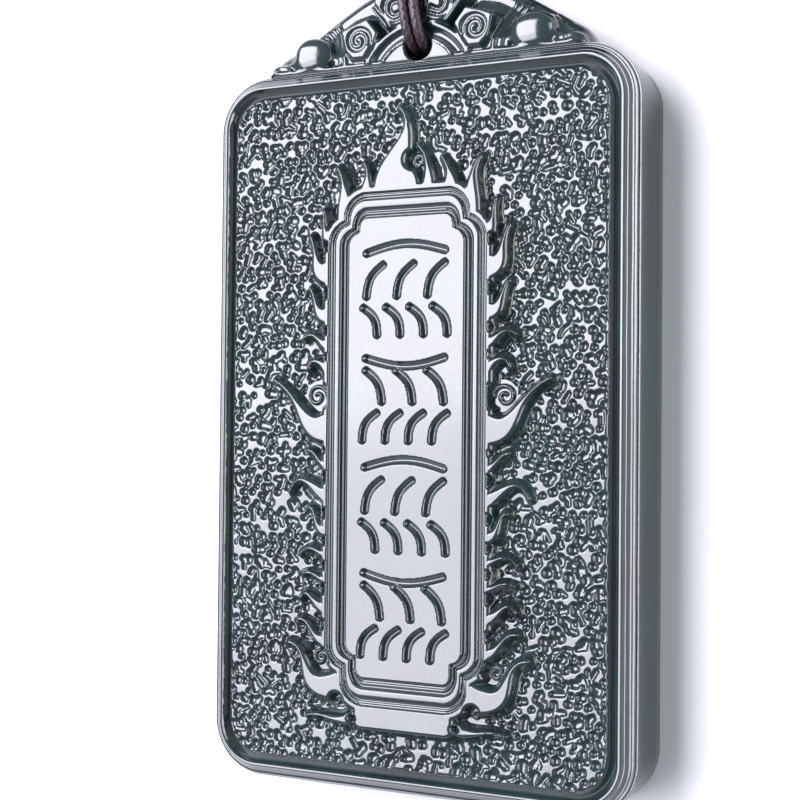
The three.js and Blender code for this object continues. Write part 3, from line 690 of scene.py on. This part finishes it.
def rounded_slab(sideways, z, low, high, radius):
    """Distance to a slab with rounded edges, from the distance to its outline."""
    out = sideways + radius
    up = np.abs(z - (low + high) / 2) - (high - low) / 2 + radius
    return np.hypot(np.maximum(out, 0), np.maximum(up, 0)) + np.minimum(np.maximum(out, up), 0) - radius


def surface_of(field, low, step):
    """The closed surface where a field of distances is zero, as points and four-sided faces."""
    inside = field < 0
    cells = tuple(n - 1 for n in field.shape)
    total = np.zeros((*cells, 3))
    crossings = np.zeros(cells)
    edges = []
    for axis in range(3):
        near = [slice(None)] * 3
        far = [slice(None)] * 3
        near[axis], far[axis] = slice(None, -1), slice(1, None)
        a, b = field[tuple(near)], field[tuple(far)]
        crossed = inside[tuple(near)] != inside[tuple(far)]
        share = np.where(crossed, a / np.where(crossed, a - b, 1), 0)
        edges.append((crossed, inside[tuple(near)]))
        others = [k for k in range(3) if k != axis]
        for first in (0, 1):
            for second in (0, 1):
                take = [slice(None)] * 3
                take[others[0]] = slice(first, cells[others[0]] + first)
                take[others[1]] = slice(second, cells[others[1]] + second)
                here = crossed[tuple(take)]
                crossings += here
                total[..., axis] += np.where(here, share[tuple(take)], 0)
                total[..., others[0]] += here * first
                total[..., others[1]] += here * second
    used = crossings > 0
    index = np.full(cells, -1)
    index[used] = np.arange(used.sum())
    corner = np.stack(np.nonzero(used), -1)
    points = np.array(low) + (corner + total[used] / crossings[used][:, None]) * step
    quads = []
    for axis, (crossed, leaving) in enumerate(edges):
        u, v = (axis + 1) % 3, (axis + 2) % 3
        at = np.stack(np.nonzero(crossed), -1)
        fits = (at[:, u] > 0) & (at[:, v] > 0) & (at[:, u] < cells[u]) & (at[:, v] < cells[v])
        at = at[fits]
        corners = []
        for du, dv in ((-1, -1), (0, -1), (0, 0), (-1, 0)):
            cell = at.copy()
            cell[:, u] += du
            cell[:, v] += dv
            corners.append(index[tuple(cell.T)])
        face = np.stack(corners, -1)
        out = leaving[tuple(at.T)]
        quads += [face[out], face[~out][:, ::-1]]
    return points, np.concatenate(quads)


def make_crest(material):
    low, high = np.array(CREST_BOX)
    xs, ys, zs = (np.arange(a, b, CREST_STEP) for a, b in zip(low, high))
    x, y = np.meshgrid(xs, ys, indexing="ij")
    slab_half = np.concatenate([[(SLAB_FOOT_X, CREST_FOOT_Y)], smooth_line(SLAB_EDGE, 0.5)])
    face_half = [np.array([(FACE_FOOT_X, CREST_FOOT_Y)]), *[arc(*spec) for spec in FACE_ARCS], FACE_TOP]
    slab = outline_distance(x, y, both_sides(slab_half))[..., None]
    face = outline_distance(x, y, both_sides(np.concatenate(face_half)))[..., None]
    z = zs[None, None, :]
    raised = crest_heights(x, y)[..., None]
    sloped = SLAB_TOP - SLAB_SLOPE * np.clip(face, 0, 3)
    slab_top = np.minimum(sloped, CREST_FACE + np.clip(raised, DEEPEST_BAND, 0))
    field = rounded_slab(slab, z, CREST_BACK, slab_top, SLAB_ROUNDING)
    front = rounded_slab(face, z - raised, FACE_UNDERSIDE, CREST_FACE, FACE_ROUNDING)
    field = np.minimum(field, front)
    away = np.hypot(x, y - HOLE_Y)[..., None]
    at_face, at_back = (
        np.clip(1 - np.abs(z - end) / FLARE_HEIGHT, 0, 1) for end in (CREST_FACE, CREST_BACK)
    )
    field = np.maximum(field, HOLE_RADIUS + FLARE * (at_face + at_back) ** 2 - away)
    points, quads = surface_of(field, low, CREST_STEP)
    mesh = mesh_from("jade_crest", points, quads)
    link_piece("jade_crest", mesh, material, "jade_pendant", slot="jade")


# Cord

CORD_RADIUS = 0.475
STRAND_SHIFT = 0.5  # each strand lies this far to its side of the route
STRAND_STEP, LOOP_STEP, KNOT_POINTS = 0.07, 0.12, 420  # points along each cord
STRAND_SIDES, LOOP_SIDES, KNOT_SIDES = 32, 16, 20  # points round it
NOT_ALONG = (1.0, 0.3, 0.2)  # a direction that no cord starts in
STRAND_ROUTE = [
    (0, 44.1, 1.7), (-0.05, 43.2, 2.7), (-0.2, 42.0, 4.7), (-0.35, 40.8, 6.6), (-0.45, 39.5, 7.8),
    (-0.4, 38.0, 8.15), (-0.3, 36.4, 8.2), (-0.1, 35.0, 8.1), (0, 33.95, 7.65), (0, 33.3, 6.8),
    (0, 33.1, 5.6), (0, 33.1, 4.0), (0, 33.3, 2.5), (0, 34.0, 1.35), (0, 35.1, 0.75),
    (0, 36.6, 0.6), (0.1, 38.6, 0.6), (0.2, 40.6, 0.6), (0.3, 42.4, 0.65), (0.35, 44.05, 0.75),
]
LEAD_OUT = [(1.3, 47.9, 0.9), (1.6, 48.9, 0.6), (2.1, 50.1, 0.55)]
LEAD_BACK = [(5.3, 41.9, 3.0), (4.0, 42.8, 2.4), (3.1, 43.7, 1.8), (2.3, 44.5, 1.5)]
KNOT_CENTRE, KNOT_RADII = (0.4, 46.0, 1.55), (1.9, 1.7, 1.5)
KNOT_TURNS, KNOT_SWINGS = 3, 4
KNOT_LATITUDE, KNOT_WEAVE = 58, 0.13  # how far up the ball the cord swings, and how far over and under
KNOT_COVER = 0.55  # from the knot's outside to the middle of its cord
COIL_CENTRE, COIL_RADIUS, COIL_START = (11.3, 48.0), 6.0, 150  # it starts at this angle
TURN_GAP, COIL_ROWS, ROW_TURNS, COIL_LIFT = 1.03, 4, 4, 0.55
ROW_ENDS, ROW_STRIDE = 8, 12  # points left off a row's ends for the step to the next, and one in how many
BRAID_CARRIERS, BRAID_PITCH = 4, 0.78
YARN_CROWN, YARN_DIP = 0.85, 0.35  # how round a yarn is across, and how far it dips at its ends
CORE_SHARE, YARN_SHARE = 0.8, 0.22  # of the cord's radius


def braided_tube(name, route, sides, material, *nodes):
    """A round braid along a route: crossing yarns that dip under each other in turn."""
    along = np.gradient(route, axis=0)
    along /= np.linalg.norm(along, axis=1, keepdims=True)
    across = np.empty_like(along)
    across[0] = np.cross(along[0], NOT_ALONG)
    for i in range(len(route)):
        last = across[max(i - 1, 0)]
        side = last - along[i] * (last @ along[i])
        across[i] = side / np.linalg.norm(side)
    upward = np.cross(along, across)
    travelled = np.concatenate([[0], np.cumsum(np.linalg.norm(np.diff(route, axis=0), axis=1))])
    turn = np.arange(sides) / sides
    u = turn[None, :] * BRAID_CARRIERS + travelled[:, None] / BRAID_PITCH
    v = turn[None, :] * BRAID_CARRIERS - travelled[:, None] / BRAID_PITCH
    over = (np.floor(u) + np.floor(v)) % 2 < 1
    width = np.where(over, v % 1, u % 1) * 2 - 1
    length = np.where(over, u % 1, v % 1) * 2 - 1
    yarn = np.sqrt(np.clip(1 - YARN_CROWN * width**2, 0, 1)) * (1 - YARN_DIP * length**2)
    radius = (CORD_RADIUS * (CORE_SHARE + YARN_SHARE * yarn))[..., None]
    angle = (2 * pi * turn)[None, :, None]
    points = route[:, None] + radius * (np.cos(angle) * across[:, None] + np.sin(angle) * upward[:, None])
    quads = ring_quads(sides, len(route))
    ends = [np.arange(sides)[::-1], np.arange(sides) + sides * (len(route) - 1)]
    mesh = mesh_from(name, points.reshape(-1, 3), quads, ends)
    return link_piece(name, mesh, material, *nodes, slot="cord")


def make_strands(material):
    for side, name in ((-1, "cord_strand_left"), (1, "cord_strand_right")):
        shifted = [(x + side * STRAND_SHIFT, y, z) for x, y, z in STRAND_ROUTE]
        route = smooth_line(shifted, STRAND_STEP)
        strand = braided_tube(f"braided_{name}", route, STRAND_SIDES, material, name)


def coil_rows():
    """The wound cord, row upon row: one row winds inwards, the next outwards."""
    half = TURN_GAP * (ROW_TURNS - 1) / 2
    rows = []
    angle = radians(COIL_START)
    outwards = False
    for row in range(COIL_ROWS):
        z = COIL_LIFT + row * TURN_GAP
        start, end = (COIL_RADIUS - half, COIL_RADIUS + half)[:: 1 if outwards else -1]
        sweep = np.linspace(0, 2 * pi * (ROW_TURNS - 0.25), 400)
        radius = np.interp(sweep, [0, sweep[-1]], [start, end])
        angles = angle - sweep
        x = COIL_CENTRE[0] + radius * np.cos(angles)
        y = COIL_CENTRE[1] + radius * np.sin(angles)
        rows.append(np.stack([x, y, np.full(len(angles), z)], -1))
        angle = angles[-1] - pi / 2
        outwards = not outwards
    return rows


def make_necklace(material, knot):
    rows = [row[ROW_ENDS:-ROW_ENDS:ROW_STRIDE] for row in coil_rows()]
    route = smooth_line(np.concatenate([LEAD_OUT, *rows, LEAD_BACK]), LOOP_STEP)
    nodes = ("cord_lead_out", "cord_coil", "cord_lead_back")
    loop = braided_tube("braided_cord_loop", route, LOOP_SIDES, material, *nodes)


def make_knot(material):
    """A button knot: one cord woven round and round a ball, over and under itself."""
    t = np.linspace(0, 2 * pi * KNOT_TURNS, KNOT_POINTS, endpoint=False)
    latitude = radians(KNOT_LATITUDE) * np.cos(KNOT_SWINGS / KNOT_TURNS * t)
    reach = 1 + KNOT_WEAVE * np.sin(2 * KNOT_SWINGS / KNOT_TURNS * t)
    flat = np.cos(latitude)
    ball = np.stack([flat * np.cos(t) * reach, flat * np.sin(t) * reach, np.sin(latitude) * reach], -1)
    route = np.array(KNOT_CENTRE) + ball * (np.array(KNOT_RADII) - KNOT_COVER)
    route = np.concatenate([route, route[:1]])
    return braided_tube("button_knot", route, KNOT_SIDES, material, "cord_knot")


# Materials


def new_material(name):
    material = bpy.data.materials.new(name)
    material.use_nodes = True
    nodes = material.node_tree.nodes
    return material, nodes, material.node_tree.links, nodes["Principled BSDF"]


def add_noise(nodes, links, scale, detail, roughness=0.5):
    place = nodes.new("ShaderNodeTexCoord")
    noise = nodes.new("ShaderNodeTexNoise")
    noise.inputs["Scale"].default_value = scale
    noise.inputs["Detail"].default_value = detail
    noise.inputs["Roughness"].default_value = roughness
    links.new(place.outputs["Object"], noise.inputs["Vector"])
    return noise


def add_range(nodes, links, noise, low, high):
    """A noise's middle values, where nearly all of it lies, spread from low to high."""
    spread = nodes.new("ShaderNodeMapRange")
    spread.inputs["From Min"].default_value = 0.3
    spread.inputs["From Max"].default_value = 0.7
    spread.inputs["To Min"].default_value = low
    spread.inputs["To Max"].default_value = high
    links.new(noise.outputs["Fac"], spread.inputs["Value"])
    return spread.outputs["Result"]


def add_ramp(nodes, links, noise, *stops):
    """A noise's two colours, each with its place on the ramp."""
    ramp = nodes.new("ShaderNodeValToRGB")
    for element, (place, colour) in zip(ramp.color_ramp.elements, stops):
        element.position = place
        element.color = (*colour, 1)
    links.new(noise.outputs["Fac"], ramp.inputs["Fac"])
    return ramp.outputs["Color"]


def add_bump(nodes, links, noise, strength, distance):
    node = nodes.new("ShaderNodeBump")
    node.inputs["Strength"].default_value = strength
    node.inputs["Distance"].default_value = distance
    links.new(noise.outputs["Fac"], node.inputs["Height"])
    return node.outputs["Normal"]


def polished_jade():
    material, nodes, links, shader = new_material("polished dark green jade")
    clouds = add_noise(nodes, links, 160, 6)
    stops = (0.3, (0.008, 0.0125, 0.0135)), (0.72, (0.012, 0.025, 0.024))
    links.new(add_ramp(nodes, links, clouds, *stops), shader.inputs["Base Color"])
    shader.inputs["IOR"].default_value = 1.62
    marks = add_noise(nodes, links, 2600, 4, 0.6)
    links.new(add_range(nodes, links, marks, 0.08, 0.2), shader.inputs["Roughness"])
    links.new(add_bump(nodes, links, marks, 0.12, 0.02 * MM), shader.inputs["Normal"])
    return material


def braided_silk():
    material, nodes, links, shader = new_material("dark braided silk")
    fibres = add_noise(nodes, links, 3000, 5)
    stops = (0.35, (0.006, 0.003, 0.005)), (0.75, (0.04, 0.018, 0.026))
    links.new(add_ramp(nodes, links, fibres, *stops), shader.inputs["Base Color"])
    shader.inputs["Roughness"].default_value = 0.45
    links.new(add_bump(nodes, links, fibres, 0.5, 0.04 * MM), shader.inputs["Normal"])
    return material


def pale_floor():
    material, nodes, links, shader = new_material("pale floor")
    tone = add_noise(nodes, links, 4, 3)
    stops = (0, (0.52, 0.52, 0.52)), (1, (0.56, 0.56, 0.56))
    links.new(add_ramp(nodes, links, tone, *stops), shader.inputs["Base Color"])
    shader.inputs["Roughness"].default_value = 0.9
    return material


FLOOR_HALF = 900


def make_floor(material):
    half = FLOOR_HALF * MM
    mesh = bpy.data.meshes.new("floor")
    corners = [(-half, -half, 0), (half, -half, 0), (half, half, 0), (-half, half, 0)]
    mesh.from_pydata(corners, [], [(0, 1, 2, 3)])
    mesh.materials.append(material)
    floor = bpy.data.objects.new("floor", mesh)
    bpy.context.scene.collection.objects.link(floor)


set_camera()
set_light()
silk = braided_silk()
make_strands(silk)
make_necklace(silk, make_knot(silk))
jade = polished_jade()
make_tablet(jade)
make_crest(jade)
make_carved_face(jade)
make_floor(pale_floor())
